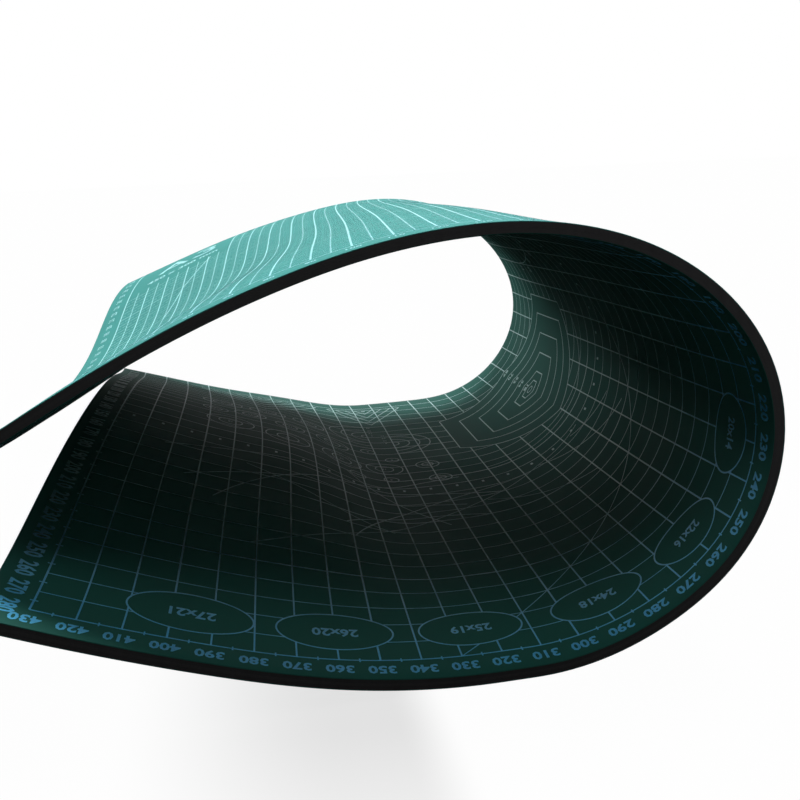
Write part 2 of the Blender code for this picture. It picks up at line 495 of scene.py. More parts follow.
def grid_cells(rows: int, columns: int) -> list[Corners]:
    """Corner numbers of each cell of a grid of points that is stored row by row."""
    corners = [j * columns + i for j in range(rows - 1) for i in range(columns - 1)]
    return [(a, a + 1, a + columns + 1, a + columns) for a in corners]


def mark_flat_place(mesh: bpy.types.Mesh, flat: np.ndarray) -> None:
    """Stores each corner's place on the flat sheet, in metres, as a UV map.

    Args:
        mesh: mesh whose points are in the order of the flat points.
        flat: rows of distance along, distance across and height.
    """
    corners = np.empty(len(mesh.loops), dtype=np.int32)
    mesh.loops.foreach_get("vertex_index", corners)
    layer = mesh.uv_layers.new(name=FLAT_PLACE)
    layer.data.foreach_set("uv", flat[corners, :2].astype(np.float32).ravel())


def face_outwards(mesh: bpy.types.Mesh) -> None:
    """Turns the faces of closed shells outwards.

    Args:
        mesh: mesh of one or more closed shells.
    """
    work = bmesh.new()
    work.from_mesh(mesh)
    bmesh.ops.recalc_face_normals(work, faces=work.faces[:])
    work.to_mesh(mesh)
    work.free()


def show_as(piece: bpy.types.Object, slot: str, *nodes: str) -> None:
    """Rides a finished piece on the mat and names what it stands for.

    Args:
        piece: finished piece.
        slot: material slot of the record for the piece's finish; not used.
        nodes: solids of the model that it replaces.
    """
    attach(piece, BODY)
    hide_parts(*nodes)
    LOG.info("%s: %d faces, for %s", piece.name, len(piece.data.polygons), ", ".join(nodes))


@dataclass
class Ply:
    """One ply of the mat as a closed sheet, with its outer rim rounded where it has a face."""

    name: str
    node: str
    slot: str
    sheet: CurledSheet
    inner_height: float
    outer_height: float
    inner_rounding: float = 0.0
    outer_rounding: float = 0.0
    rounding_steps: int = 3

    def rings(self) -> list[Pair]:
        """Lays out the rim of the ply.

        Returns:
            Inset and height of each ring, from the inner to the outer face.
        """
        steps = range(self.rounding_steps + 1)
        turns = [math.pi / 2 * step / self.rounding_steps for step in steps]
        r = self.inner_rounding
        inner = [
            (r * (1 - math.sin(turn)), self.inner_height + r * (1 - math.cos(turn)))
            for turn in (turns if r else turns[:1])
        ]
        r = self.outer_rounding
        outer = [
            (r * (1 - math.cos(turn)), self.outer_height - r * (1 - math.sin(turn)))
            for turn in (turns if r else turns[:1])
        ]
        return inner + outer

    @staticmethod
    def rim(rows: int, columns: int) -> tuple[np.ndarray, np.ndarray]:
        """Row and column of each point on the rim of the grid, once round.

        Args:
            rows: points across the mat.
            columns: points along the mat.

        Returns:
            The rows and the columns.
        """
        end, side = columns - 1, rows - 1
        places = [(0, i) for i in range(columns)] + [(j, end) for j in range(1, rows)]
        places += [(side, i) for i in range(end - 1, -1, -1)]
        places += [(j, 0) for j in range(side - 1, 0, -1)]
        return tuple(np.array(places).T)

    def build(self) -> bpy.types.Object:
        """Makes the closed mesh of the ply, with its flat place as a UV map.

        Returns:
            The object.
        """
        grids = [self.sheet.flat_grid(height, inset) for inset, height in self.rings()]
        rows, columns = grids[0].shape[:2]
        rim_rows, rim_columns = self.rim(rows, columns)
        sides = [grids[0].reshape(-1, 3), grids[-1].reshape(-1, 3)]
        between = [grid[rim_rows, rim_columns] for grid in grids[1:-1]]
        flat = np.concatenate([*sides, *between])
        on_grid = rim_rows * columns + rim_columns
        count, around = rows * columns, len(on_grid)
        loops = [on_grid]
        loops += [2 * count + around * index + np.arange(around) for index in range(len(between))]
        loops.append(on_grid + count)
        faces: list[Corners] = []
        for cell in grid_cells(rows, columns):
            faces += [cell[::-1], tuple(corner + count for corner in cell)]
        for low, high in zip(loops, loops[1:]):
            for k in range(around):
                n = (k + 1) % around
                faces.append((int(low[k]), int(low[n]), int(high[n]), int(high[k])))
        piece = new_object(self.name, self.sheet.place(flat), faces)
        mark_flat_place(piece.data, flat)
        piece.data.shade_smooth()
        piece.data.set_sharp_from_angle(angle=SHARP_EDGE)
        return piece

    def dress(self, piece: bpy.types.Object, finish: bpy.types.Material) -> None:
        """Gives the ply its material and its place in the model."""
        piece.data.materials.append(finish)
        show_as(piece, self.slot, self.node)


@dataclass
class PlyStack:
    """The five plies, glued face to face."""

    sheet: CurledSheet
    film: float = 0.0002
    core: float = 0.0006
    glue: float = 0.00015
    ink_proud: float = 0.00004
    rim_rounding: float = 0.00012
    # The inner film is a far darker green than the outer film: painted shade of the inside of the
    # curl.
    inner_film: FilmFinish = FilmFinish("deep_green_pvc_film", (0.012, 0.100, 0.080))
    outer_film: FilmFinish = FilmFinish("green_pvc_film", (0.062, 0.350, 0.325))
    healing_edge: CutEdgeFinish = CutEdgeFinish(
        "black_healing_pvc", (0.010, 0.010, 0.011), roughness=(0.52, 0.68)
    )
    core_edge: CutEdgeFinish = CutEdgeFinish(
        "dark_core_pvc", (0.018, 0.018, 0.019), roughness=(0.58, 0.74)
    )

    def face_height(self) -> float:
        """Height of each film's printed face over the middle surface."""
        return self.sheet.thickness / 2 - self.ink_proud

    def plies(self) -> list[Ply]:
        """Lays out the stack.

        Returns:
            The plies, from the inside of the curl outwards.
        """
        face = self.face_height()
        film = self.sheet.thickness / 2 - self.film - self.glue / 2
        core = self.core / 2 + self.glue / 2
        sheet, rim = self.sheet, self.rim_rounding
        green, black = "green_film", "black_healing_ply"
        return [
            Ply("inner_film", "inner_color_film", green, sheet, -face, -film, inner_rounding=rim),
            Ply("inner_healing", "inner_healing_ply", black, sheet, -film, -core),
            Ply("core", "core_ply", "core_ply", sheet, -core, core),
            Ply("outer_healing", "outer_healing_ply", black, sheet, core, film),
            Ply("outer_film", "outer_color_film", green, sheet, film, face, outer_rounding=rim),
        ]

    def build(self) -> None:
        """Makes and dresses every ply."""
        healing = self.healing_edge.build()
        finishes = {
            "inner_film": self.inner_film.build(),
            "inner_healing": healing,
            "core": self.core_edge.build(),
            "outer_healing": healing,
            "outer_film": self.outer_film.build(),
        }
        for ply in self.plies():
            ply.dress(ply.build(), finishes[ply.name])


# Print, in millimetres
class PrintTree(NodeTree):
    """Geometry Nodes tree that repeats a flat mark and lays the row on a face of the sheet."""

    input_kinds: dict[str, str] = {
        "Mark": "Geometry",
        "Count": "Int",
        "Pitch": "Vector",
        "Sheet": "Object",
        "Ink": "Material",
    }

    def __init__(self) -> None:
        """Builds the tree once, with named inputs."""
        super().__init__(bpy.data.node_groups.new("print_on_sheet", "GeometryNodeTree"))
        sockets = self.tree.interface
        sockets.new_socket("Geometry", in_out="OUTPUT", socket_type="NodeSocketGeometry")
        for name, kind in self.input_kinds.items():
            sockets.new_socket(name, in_out="INPUT", socket_type="NodeSocket" + kind)
        self.build()

    def attribute(self, name: str) -> bpy.types.Node:
        """Vector that a mesh keeps under a name."""
        return self.add("GeometryNodeInputNamedAttribute", {"Name": name}, data_type="FLOAT_VECTOR")

    def sample(self, surface: Source, value: Source, place: Source) -> bpy.types.Node:
        """Reads a vector of the sheet at a flat place.

        Args:
            surface: the sheet's mesh.
            value: vector to read from it.
            place: flat place of each point of the print.

        Returns:
            Node with the vector that was read.
        """
        inputs = {"Mesh": surface, "Value": value, "Sample UV": place}
        result = self.add("GeometryNodeSampleUVSurface", inputs, data_type="FLOAT_VECTOR")
        names = ("UV Map", "Source UV Map")
        source = next(s for s in result.inputs if s.name in names and s.enabled)
        self.tree.links.new(self.attribute(FLAT_PLACE).outputs["Attribute"], source)
        return result

    def build(self) -> None:
        """Joins the nodes: row of marks, place on the sheet, then plain mesh with its ink."""
        given = self.add("NodeGroupInput").outputs
        steps = {"Count": given["Count"], "Offset": given["Pitch"]}
        row = self.add("GeometryNodeMeshLine", steps, mode="OFFSET")
        repeated = {"Points": row, "Instance": given["Mark"]}
        marks = self.add("GeometryNodeInstanceOnPoints", repeated)
        flat = self.add("GeometryNodeRealizeInstances", {"Geometry": marks})
        sheet = {"Object": given["Sheet"]}
        info = self.add("GeometryNodeObjectInfo", sheet, transform_space="ORIGINAL")
        surface = info.outputs["Geometry"]
        position = self.add("GeometryNodeInputPosition")
        on_sheet = self.sample(surface, position, position)
        direction = self.sample(surface, self.attribute(OUTWARD), position)
        height = self.add("SeparateXYZ", {"Vector": position}).outputs["Z"]
        rise = self.add("VectorMath", {0: direction, "Scale": height}, operation="SCALE")
        place = self.add("VectorMath", {0: on_sheet, 1: rise}, operation="ADD")
        laid = self.add("GeometryNodeSetPosition", {"Geometry": flat, "Position": place})
        plain = self.add("GeometryNodeRealizeInstances", {"Geometry": laid})
        inked = self.add("GeometryNodeSetMaterial", {"Geometry": plain, "Material": given["Ink"]})
        self.add("NodeGroupOutput", {"Geometry": inked})

    def apply(self, mark: bpy.types.Object, values: dict[str, object]) -> bpy.types.Mesh:
        """Runs the tree on a flat mark.

        Args:
            mark: object with the flat mark.
            values: value of each named input.

        Returns:
            The printed row as a plain mesh.
        """
        modifier = mark.modifiers.new("print", "NODES")
        modifier.node_group = self.tree
        items = self.tree.interface.items_tree
        sockets = {item.name: item.identifier for item in items if item.in_out == "INPUT"}
        for name, value in values.items():
            modifier[sockets[name]] = value
        graph = bpy.context.evaluated_depsgraph_get()
        mesh = bpy.data.meshes.new_from_object(mark.evaluated_get(graph))
        bpy.data.objects.remove(mark, do_unlink=True)
        return mesh


class Shape(Enum):
    """Outlines that a blank area can have."""

    BOX = auto()
    ELLIPSE = auto()
    HEXAGON = auto()


@dataclass(frozen=True)
class Blank:
    """Area without grid lines."""

    centre: Pair
    reach: Pair
    shape: Shape = Shape.BOX

    def holds(self, u: float, v: float) -> bool:
        """Whether a place lies in the area.

        Args:
            u: distance along the mat.
            v: distance across the mat.

        Returns:
            True inside the area.
        """
        du, dv = abs(u - self.centre[0]), abs(v - self.centre[1])
        if self.shape is Shape.ELLIPSE:
            return (du / self.reach[0]) ** 2 + (dv / self.reach[1]) ** 2 < 1
        if self.shape is Shape.HEXAGON:
            return max(du, du / 2 + dv * ROOT_3 / 2) < self.reach[0]
        return du < self.reach[0] and dv < self.reach[1]


def printed_runs(places: np.ndarray, is_blank: list[bool], shortest: float) -> list[Pair]:
    """Stretches of a line that lie outside the blank areas.

    Args:
        places: evenly spaced places on the line.
        is_blank: whether each of them is blank.
        shortest: length that a stretch has to pass.

    Returns:
        Start and end of each printed stretch.
    """
    runs: list[list[float]] = []
    was_blank = True
    for place, blank in zip(places, is_blank):
        if not blank and was_blank:
            runs.append([place, place])
        elif not blank:
            runs[-1][1] = place
        was_blank = blank
    return [(first, last) for first, last in runs if last - first > shortest]


@dataclass(frozen=True)
class TextStyle:
    """Size, weight and direction of printed words; the height is that of a numeral."""

    face: Face
    height: float
    stretch: float = 1.0
    weight: float = 0.0
    turned: bool = False
    numeral_share: float = 0.70

    def font_size(self) -> float:
        """Size of the font that gives numerals their height."""
        return self.height / self.numeral_share

    def directions(self) -> tuple[np.ndarray, np.ndarray]:
        """Directions of the words on the flat sheet.

        Returns:
            Direction of reading and direction of the top of the words.
        """
        side = float(self.face.value)
        top = np.array([-1.0, 0.0]) if self.turned else np.array([0.0, side])
        return side * np.array([top[1], -top[0]]), top


@dataclass
class FlatInk:
    """Closed flat marks on the flat sheet, before they are printed.

    The longest steps along and across keep a line on the curl. A sharp corner's mitre stops
    growing at the smallest share. Words are extruded only to tell their two sides apart.
    """

    low: float = -0.02
    high: float = 0.04
    blank_step: float = 0.25
    shortest_run: float = 0.3
    step_along: float = 2.5
    step_across: float = 5.0
    arc_step: float = 1.2
    arc_steps: int = 10
    mitre_share: float = 0.4
    letter_detail: int = 2
    letter_weld: float = 0.001
    letter_extrusion: float = 0.5
    tolerance: float = 1e-6
    points: list[np.ndarray] = field(default_factory=list)
    faces: list[Corners] = field(default_factory=list)
    count: int = 0

    def keep(self, points: np.ndarray, faces: list[Corners]) -> None:
        """Adds one closed shell.

        Args:
            points: rows of place along, place across and height.
            faces: corner numbers of each face, counted in these points.
        """
        self.points.append(points)
        self.faces += [tuple(corner + self.count for corner in face) for face in faces]
        self.count += len(points)

    def strip(self, path: np.ndarray, width: float, closed: bool = False) -> None:
        """Ink line of even width along a path.

        Args:
            path: rows of places along and across.
            width: width of the line.
            closed: whether the path runs back to its start.
        """
        if closed:
            ahead, behind = np.roll(path, -1, axis=0), np.roll(path, 1, axis=0)
        else:
            ahead = np.vstack([path[1:], 2 * path[-1:] - path[-2:-1]])
            behind = np.vstack([2 * path[:1] - path[1:2], path[:-1]])
        step_in, step_out = path - behind, ahead - path
        step_in = step_in / np.linalg.norm(step_in, axis=1)[:, None]
        step_out = step_out / np.linalg.norm(step_out, axis=1)[:, None]
        tangent = step_in + step_out
        tangent = tangent / np.linalg.norm(tangent, axis=1)[:, None]
        mitre = np.maximum((tangent * step_out).sum(axis=1), self.mitre_share)[:, None]
        side = np.stack([-tangent[:, 1], tangent[:, 0]], axis=1) * (width / 2) / mitre
        n = len(path)
        rings = []
        for offset, height in (
            (-side, self.low), (side, self.low), (side, self.high), (-side, self.high)
        ):
            rings.append(np.hstack([path + offset, np.full((n, 1), height)]))
        points = np.stack(rings, axis=1).reshape(-1, 3)
        faces: list[Corners] = []
        for k in range(n if closed else n - 1):
            a, b = 4 * k, 4 * ((k + 1) % n)
            faces += [(a + c, a + (c + 1) % 4, b + (c + 1) % 4, b + c) for c in range(4)]
        if not closed:
            end = 4 * (n - 1)
            faces += [(3, 2, 1, 0), (end, end + 1, end + 2, end + 3)]
        self.keep(points, faces)

    def line(self, start: Pair, end: Pair, width: float) -> None:
        """Straight ink line, with points often enough to follow the curl.

        Args:
            start: first end of the line.
            end: last end of the line.
            width: width of the line.
        """
        a, b = np.array(start, float), np.array(end, float)
        along, across = np.abs(b - a)
        needed = max(along / self.step_along, across / self.step_across) - self.tolerance
        share = np.linspace(0, 1, max(1, math.ceil(needed)) + 1)[:, None]
        self.strip(a + (b - a) * share, width)

    def broken_line(self, start: Pair, end: Pair, width: float, blanks: list[Blank]) -> None:
        """Straight ink line that stops at the edge of each blank area.

        Args:
            start: first end of the line.
            end: last end of the line.
            width: width of the line.
            blanks: areas that stay free of lines.
        """
        a, b = np.array(start, float), np.array(end, float)
        length = float(np.linalg.norm(b - a))
        share = np.linspace(0, 1, round(length / self.blank_step) + 1)
        blank = [any(area.holds(*(a + (b - a) * t)) for area in blanks) for t in share]
        for first, last in printed_runs(share * length, blank, self.shortest_run):
            ends = (tuple(a + (b - a) * place / length) for place in (first, last))
            self.line(*ends, width)

    def arc(self, centre: Pair, radii: Pair, angles: Pair, width: float) -> None:
        """Part or whole of an ellipse.

        Args:
            centre: place along and across.
            radii: radius along and across.
            angles: first and last angle in degrees; a full turn closes the ellipse.
            width: width of the line.
        """
        first, last = np.radians(angles)
        full = abs(last - first) > 2 * math.pi - self.tolerance
        steps = max(self.arc_steps, math.ceil(abs(last - first) * max(radii) / self.arc_step))
        turn = np.linspace(first, last, steps + 1)
        if full:
            turn = turn[:-1]
        u, v = centre[0] + radii[0] * np.cos(turn), centre[1] + radii[1] * np.sin(turn)
        self.strip(np.stack([u, v], axis=1), width, closed=full)

    def circle(self, centre: Pair, radius: float, width: float) -> None:
        """Whole circle."""
        self.arc(centre, (radius, radius), FULL_TURN, width)

    def polygon(self, corners: np.ndarray, width: float, closed: bool = True) -> None:
        """Outline through corners.

        Args:
            corners: rows of places along and across.
            width: width of the line.
            closed: whether the outline runs back to its first corner.
        """
        path = []
        ends = np.roll(corners, -1, axis=0)
        for start, end in zip(corners[: None if closed else -1], ends):
            steps = max(1, math.ceil(np.abs(end - start).max() / self.step_along))
            path += [start + (end - start) * k / steps for k in range(steps)]
        if not closed:
            path.append(corners[-1])
        self.strip(np.array(path), width, closed=closed)

    def text(self, words: str, centre: Pair, style: TextStyle) -> None:
        """Numerals or letters.

        Args:
            words: what is printed.
            centre: place of the middle of the words.
            style: size, weight and direction of the words.
        """
        curve = bpy.data.curves.new("words", "FONT")
        curve.body = words
        curve.align_x = curve.align_y = "CENTER"
        curve.size = style.font_size()
        curve.offset = style.weight
        curve.extrude = self.letter_extrusion
        curve.resolution_u = self.letter_detail
        holder = add_object("words", curve)
        mesh = bpy.data.meshes.new_from_object(holder)
        work = bmesh.new()
        work.from_mesh(mesh)
        bmesh.ops.remove_doubles(work, verts=work.verts[:], dist=self.letter_weld)
        places = np.array([vertex.co for vertex in work.verts])
        faces = [tuple(vertex.index for vertex in face.verts) for face in work.faces]
        work.free()
        bpy.data.objects.remove(holder, do_unlink=True)
        bpy.data.curves.remove(curve)
        bpy.data.meshes.remove(mesh)
        right, top = style.directions()
        flat = places[:, :1] * right * style.stretch + places[:, 1:2] * top + np.array(centre)
        level = np.where(places[:, 2:] > 0, self.high, self.low)
        self.keep(np.hstack([flat, level]), faces)

    def mark(self, name: str) -> bpy.types.Object:
        """The marks as one flat mesh object in metres."""
        return new_object(name, np.concatenate(self.points) * MM, self.faces)


@dataclass
class PrintedFace:
    """One printed face of the mat: its sheet to print on, its tree and its ink."""

    sheet: CurledSheet
    face: Face
    face_height: float
    node: str
    tree: PrintTree
    ink: bpy.types.Material
    carrier: bpy.types.Object = field(init=False)

    def __post_init__(self) -> None:
        """Makes the surface that the print is laid on."""
        grid = self.sheet.flat_grid(self.face.value * self.face_height)
        flat = grid.reshape(-1, 3)
        name = self.face.name.lower() + "_print_surface"
        self.carrier = new_object(name, self.sheet.place(flat), grid_cells(*grid.shape[:2]))
        mark_flat_place(self.carrier.data, flat)
        outward = self.carrier.data.attributes.new(OUTWARD, "FLOAT_VECTOR", "POINT")
        directions = self.sheet.outward(flat, self.face)
        outward.data.foreach_set("vector", directions.astype(np.float32).ravel())

    def show(self, name: str, ink: FlatInk, count: int = 1, pitch: Pair = (0.0, 0.0)) -> None:
        """Prints flat ink on the face as one finished piece.

        Args:
            name: name of the piece.
            ink: flat marks.
            count: how often they repeat.
            pitch: step along and across between repeats.
        """
        step = (pitch[0] * MM, pitch[1] * MM, 0.0)
        values = {"Count": count, "Pitch": step, "Sheet": self.carrier, "Ink": self.ink}
        mesh = self.tree.apply(ink.mark(name), values)
        mesh.name = name
        for layer in list(mesh.uv_layers):
            mesh.uv_layers.remove(layer)
        face_outwards(mesh)
        show_as(add_object(name, mesh), "pale_ink", self.node)

    def clear(self) -> None:
        """Takes the surface away once the print is made."""
        bpy.data.objects.remove(self.carrier, do_unlink=True)


@dataclass
class GridPrint:
    """Measuring grid, left blank where shapes or words are printed."""

    length: float = 450.0
    width: float = 300.0
    margin: float = 10.0
    far_inset: float = 1.0
    pitch: float = 10.0
    heavy_every: int = 5
    heavy_width: float = 0.50
    line_width: float = 0.44
    cross_width: float = 0.34
    cross_drop: float = 0.006

    def lines_across(self) -> list[Pair]:
        """Lays out the lines that run across the mat.

        Returns:
            Place along and width of each line.
        """
        last = round((self.length - 2 * self.margin) / self.pitch)
        lines = []
        for k in range(last + 1):
            heavy = k % self.heavy_every == 0 or k == last
            width = self.heavy_width if heavy else self.line_width
            lines.append((self.margin + self.pitch * k, width))
        return lines

    def lines_along(self) -> list[Pair]:
        """Lays out the lines that run along the mat.

        Returns:
            Place across and width of each line.
        """
        count = int((self.width - self.far_inset - self.margin) / self.pitch)
        lines = []
        for k in range(count + 1):
            width = self.cross_width if k % self.heavy_every else self.heavy_width
            lines.append((self.margin + self.pitch * k, width))
        return lines

    def draw(self, blanks: list[Blank]) -> FlatInk:
        """Draws the whole grid.

        Args:
            blanks: areas that stay free of lines.

        Returns:
            The grid as flat ink.
        """
        ink = FlatInk()
        low_v, high_v = self.margin, self.width - self.far_inset
        low_u, high_u = self.margin, self.length - self.margin
        for place, width in self.lines_across():
            ink.broken_line((place, low_v), (place, high_v), width, blanks)
        ink.high -= self.cross_drop
        for place, width in self.lines_along():
            ink.broken_line((low_u, place), (high_u, place), width, blanks)
        return ink


@dataclass
class Numerals:
    """Plain numbers along two edges of a printed face, counted from its zero corner."""

    face: Face
    grid: GridPrint
    row_place: float = 5.2
    column_place: float = 445.0
    height: float = 3.8
    stretch: float = 0.85
    weight: float = 0.16
    turned_growth: float = 1.10

    def draw(self) -> FlatInk:
        """Draws the numbers.

        Returns:
            The numbers, with those of the short edge turned along it.
        """
        ink = FlatInk()
        face, margin, high = self.face, self.grid.margin, self.height * self.turned_growth
        upright = TextStyle(face, self.height, self.stretch, self.weight)
        turned = TextStyle(face, high, self.stretch, self.weight, turned=True)
        far_line = self.grid.lines_along()[-1][0]
        for place, _ in self.grid.lines_across():
            ink.text(str(round(place - margin)), (place, self.row_place), upright)
        for place, _ in self.grid.lines_along():
            counted = place - margin if face is Face.OUTER else far_line - place
            ink.text(str(round(counted)), (self.column_place, place), turned)
        return ink


@dataclass
class FacePrint:
    """What the prints of both faces share; words are given as height, stretch and weight."""

    printed: PrintedFace
    grid: GridPrint = field(default_factory=GridPrint)
    guide_width: float = 0.30
    guide_lines: tuple[tuple[Pair, Pair], ...] = ()

    def blanks(self) -> list[Blank]:
        """Areas of this face without grid lines."""
        return []

    def words(self, size: Triple, narrowing: float = 1.0) -> TextStyle:
        """Style of upright words on this face."""
        height, stretch, weight = size
        return TextStyle(self.printed.face, height, stretch * narrowing, weight)

    def draw_angle_lines(self) -> FlatInk:
        """Draws the slanted guide lines.

        Returns:
            The lines, kept out of the blank areas.
        """
        ink = FlatInk()
        blanks = self.blanks()
        for start, end in self.guide_lines:
            ink.broken_line(start, end, self.guide_width, blanks)
        return ink


@dataclass
class InnerPrint(FacePrint):
    """Everything printed on the face inside the curl."""

    shape_width: float = 0.46
    fine_width: float = 0.38
    dot_row: float = 147.0
    dot_width: float = 0.9
    tick_length: float = 0.9

    # Place along, half length and size of each ellipse
    ellipse_row: float = 25.0
    ellipse_half_height: float = 9.5
    ellipse_text: Triple = (3.8, 0.9, 0.14)
    ellipses: tuple[tuple[float, float, str], ...] = (
        (405.5, 15.25, "27x21"),
        (370.0, 14.75, "26x20"),
        (335.0, 13.5, "25x19"),
        (300.0, 13.0, "24x18"),
        (270.0, 11.25, "22x16"),
        (240.0, 10.75, "20x14"),
    )

    # Distance between the flats of each hexagon
    hexagon_centre: Pair = (260.5, 223.0)
    hexagon_flats: tuple[float, ...] = (87.0, 69.5, 52.0, 34.5, 17.5, 9.0)
    hexagon_middle: float = 1.8
    hexagon_text: Triple = (2.6, 1.1, 0.08)
    hexagon_text_drop: float = 3.6
    smallest_labelled: float = 17.0

    # Ends of each straight guide; centre, radius and angles of each arc; word and its place
    guide_lines: tuple[tuple[Pair, Pair], ...] = (
        ((340, 10), (205, 145)),
        ((392, 70), (284, 142)),
        ((284, 142), (262, 147)),
        ((357, 160), (325, 105)),
        ((395, 128), (345, 99)),
        ((267, 144), (245, 131)),
        ((284, 142), (245, 114)),
        ((308, 125), (270, 103)),
        ((205, 188), (249, 166)),
        ((249, 166), (300, 163)),
    )
    guide_arcs: tuple[tuple[Pair, float, Pair], ...] = (
        ((330, 74), 41.0, (40, 118)),
        ((285, 60), 80.0, (22, 92)),
        ((300, 40), 118.0, (28, 84)),
        ((350, 30), 100.0, (50, 110)),
        ((360, 20), 125.0, (60, 118)),
        ((119.5, 235), 80.0, (-43, 0)),
    )
    angle_text: Triple = (2.6, 0.9, 0.05)
    angle_labels: tuple[tuple[str, Pair], ...] = (
        ("75", (202.5, 238.0)),
        ("60", (202.5, 222.0)),
        ("45", (196.5, 208.0)),
        ("30", (191.5, 192.5)),
        ("15", (183.0, 181.0)),
    )

    # Place along of each set of triangles, and half the base of each triangle
    triangle_base: float = 286.0
    triangle_text: Triple = (1.4, 1.0, 0.0)
    triangle_text_drop: float = 1.9
    triangles: tuple[tuple[float, tuple[float, ...]], ...] = (
        (335.0, (4.5, 9.0, 13.5, 18.0)),
        (386.0, (5.5, 11.0, 16.5, 22.0, 27.5)),
    )

    # Place along, place across and radius; a large circle has a small one inside
    circle_text: Triple = (1.5, 0.9, 0.0)
    large_circle: float = 3.5
    circles: tuple[Triple, ...] = (
        (319.0, 160.0, 4.4),
        (338.0, 162.0, 3.0),
        (352.0, 160.0, 3.4),
        (321.0, 180.0, 4.7),
        (339.0, 177.0, 7.6),
        (357.5, 175.0, 8.4),
        (380.0, 173.0, 8.6),
        (402.0, 177.0, 9.0),
        (334.0, 191.0, 2.8),
        (343.0, 203.0, 3.2),
        (359.5, 199.0, 7.2),
        (378.0, 197.0, 6.0),
        (394.0, 203.0, 6.4),
        (408.0, 199.0, 5.0),
        (368.0, 224.0, 7.0),
        (386.0, 224.0, 7.6),
        (405.0, 224.0, 8.2),
    )

    # Centre, radii and angles of each set of half circles, and where its words stand
    half_circle_text: Triple = (1.3, 1.0, 0.0)
    half_circle_text_drop: float = 1.2
    half_circles: tuple[tuple[Pair, tuple[float, ...], Pair, float], ...] = (
        ((330.5, 217.0), (3.0, 7.5, 12.0, 16.5), (90, 270), 2.4),
        ((340.0, 232.0), (2.5, 7.0, 12.0, 17.5), (-90, 90), -2.4),
    )

    def blanks(self) -> list[Blank]:
        """Areas of this face without grid lines.

        Returns:
            One area for each ellipse, and one for the hexagons.
        """
        row, tall = self.ellipse_row, self.ellipse_half_height
        areas = [Blank((u, row), (half, tall), Shape.ELLIPSE) for u, half, _ in self.ellipses]
        reach = (self.hexagon_flats[0] / 2, 0.0)
        return [*areas, Blank(self.hexagon_centre, reach, Shape.HEXAGON)]

    def draw_scale_marks(self) -> FlatInk:
        """Draws the half marks.

        Returns:
            The marks on both scales, and a row of dots across the middle.
        """
        ink = FlatInk()
        low, high = self.grid.margin, self.grid.length - self.grid.margin
        tick, half = self.tick_length, self.grid.pitch / 2
        for place, _ in self.grid.lines_across()[:-1]:
            for row, width in ((low, self.fine_width), (self.dot_row, self.dot_width)):
                ink.line((place + half, row - tick), (place + half, row + tick), width)
        for place, _ in self.grid.lines_along()[:-1]:
            ink.line((high - tick, place + half), (high + tick, place + half), self.fine_width)
        return ink

    def draw_ellipses(self) -> FlatInk:
        """Draws the ellipses.

        Returns:
            The row of ellipses and their sizes.
        """
        ink = FlatInk()
        widest = max(half for _, half, _ in self.ellipses)
        for u, half, label in self.ellipses:
            centre, radii = (u, self.ellipse_row), (half, self.ellipse_half_height)
            ink.arc(centre, radii, FULL_TURN, self.shape_width)
            ink.text(label, centre, self.words(self.ellipse_text, half / widest))
        return ink

    def draw_hexagons(self) -> FlatInk:
        """Draws the hexagons.

        Returns:
            The nested hexagons and their sizes.
        """
        ink = FlatInk()
        u, v = self.hexagon_centre
        turn = np.radians(30 + 60 * np.arange(6))
        for flats in self.hexagon_flats:
            radius = flats / ROOT_3
            corners = np.stack([u + radius * np.cos(turn), v + radius * np.sin(turn)], axis=1)
            ink.polygon(corners, self.shape_width)
            if flats > self.smallest_labelled:
                place = (u, v + radius - self.hexagon_text_drop)
                ink.text(str(round(flats)), place, self.words(self.hexagon_text))
        ink.circle((u, v), self.hexagon_middle, self.fine_width)
        return ink

    def draw_angle_lines(self) -> FlatInk:
        """Draws the angle lines.

        Returns:
            The slanted lines, and the long arcs with their angles.
        """
        ink = super().draw_angle_lines()
        for centre, radius, angles in self.guide_arcs:
            ink.arc(centre, (radius, radius), angles, self.fine_width)
        for label, centre in self.angle_labels:
            ink.text(label, centre, self.words(self.angle_text))
        return ink

    def draw_triangles(self) -> FlatInk:
        """Draws the triangles.

        Returns:
            Two sets of nested triangles that share their base line.
        """
        ink = FlatInk()
        base = self.triangle_base
        label_row = base - self.triangle_text_drop
        for u, half_widths in self.triangles:
            for half in half_widths:
                corners = [(u - half, base), (u + half, base), (u, base - half * ROOT_3)]
                ink.polygon(np.array(corners), self.fine_width)
                ink.text(str(round(2 * half)), (u, label_row), self.words(self.triangle_text))
        return ink

    def draw_small_shapes(self) -> FlatInk:
        """Draws the cluster of small shapes.

        Returns:
            The circles and half circles with their sizes.
        """
        ink = FlatInk()
        for u, v, radius in self.circles:
            ink.circle((u, v), radius, self.fine_width)
            if radius > self.large_circle:
                ink.circle((u, v), radius / 2, self.fine_width)
            ink.text(str(round(2 * radius)), (u, v), self.words(self.circle_text))
        for (u, v), radii, angles, side in self.half_circles:
            for radius in radii:
                ink.arc((u, v), (radius, radius), angles, self.fine_width)
                place = (u + side, v + radius - self.half_circle_text_drop)
                ink.text(str(round(2 * radius)), place, self.words(self.half_circle_text))
        return ink

    def build(self) -> None:
        """Prints the face, one piece after the other."""
        printed = self.printed
        printed.show("inner_grid_lines", self.grid.draw(self.blanks()))
        printed.show("inner_scale_marks", self.draw_scale_marks())
        printed.show("inner_numerals", Numerals(printed.face, self.grid).draw())
        printed.show("inner_ellipses", self.draw_ellipses())
        printed.show("inner_hexagons", self.draw_hexagons())
        printed.show("inner_angle_lines", self.draw_angle_lines())
        printed.show("inner_triangles", self.draw_triangles())
        printed.show("inner_small_shapes", self.draw_small_shapes())
        printed.clear()


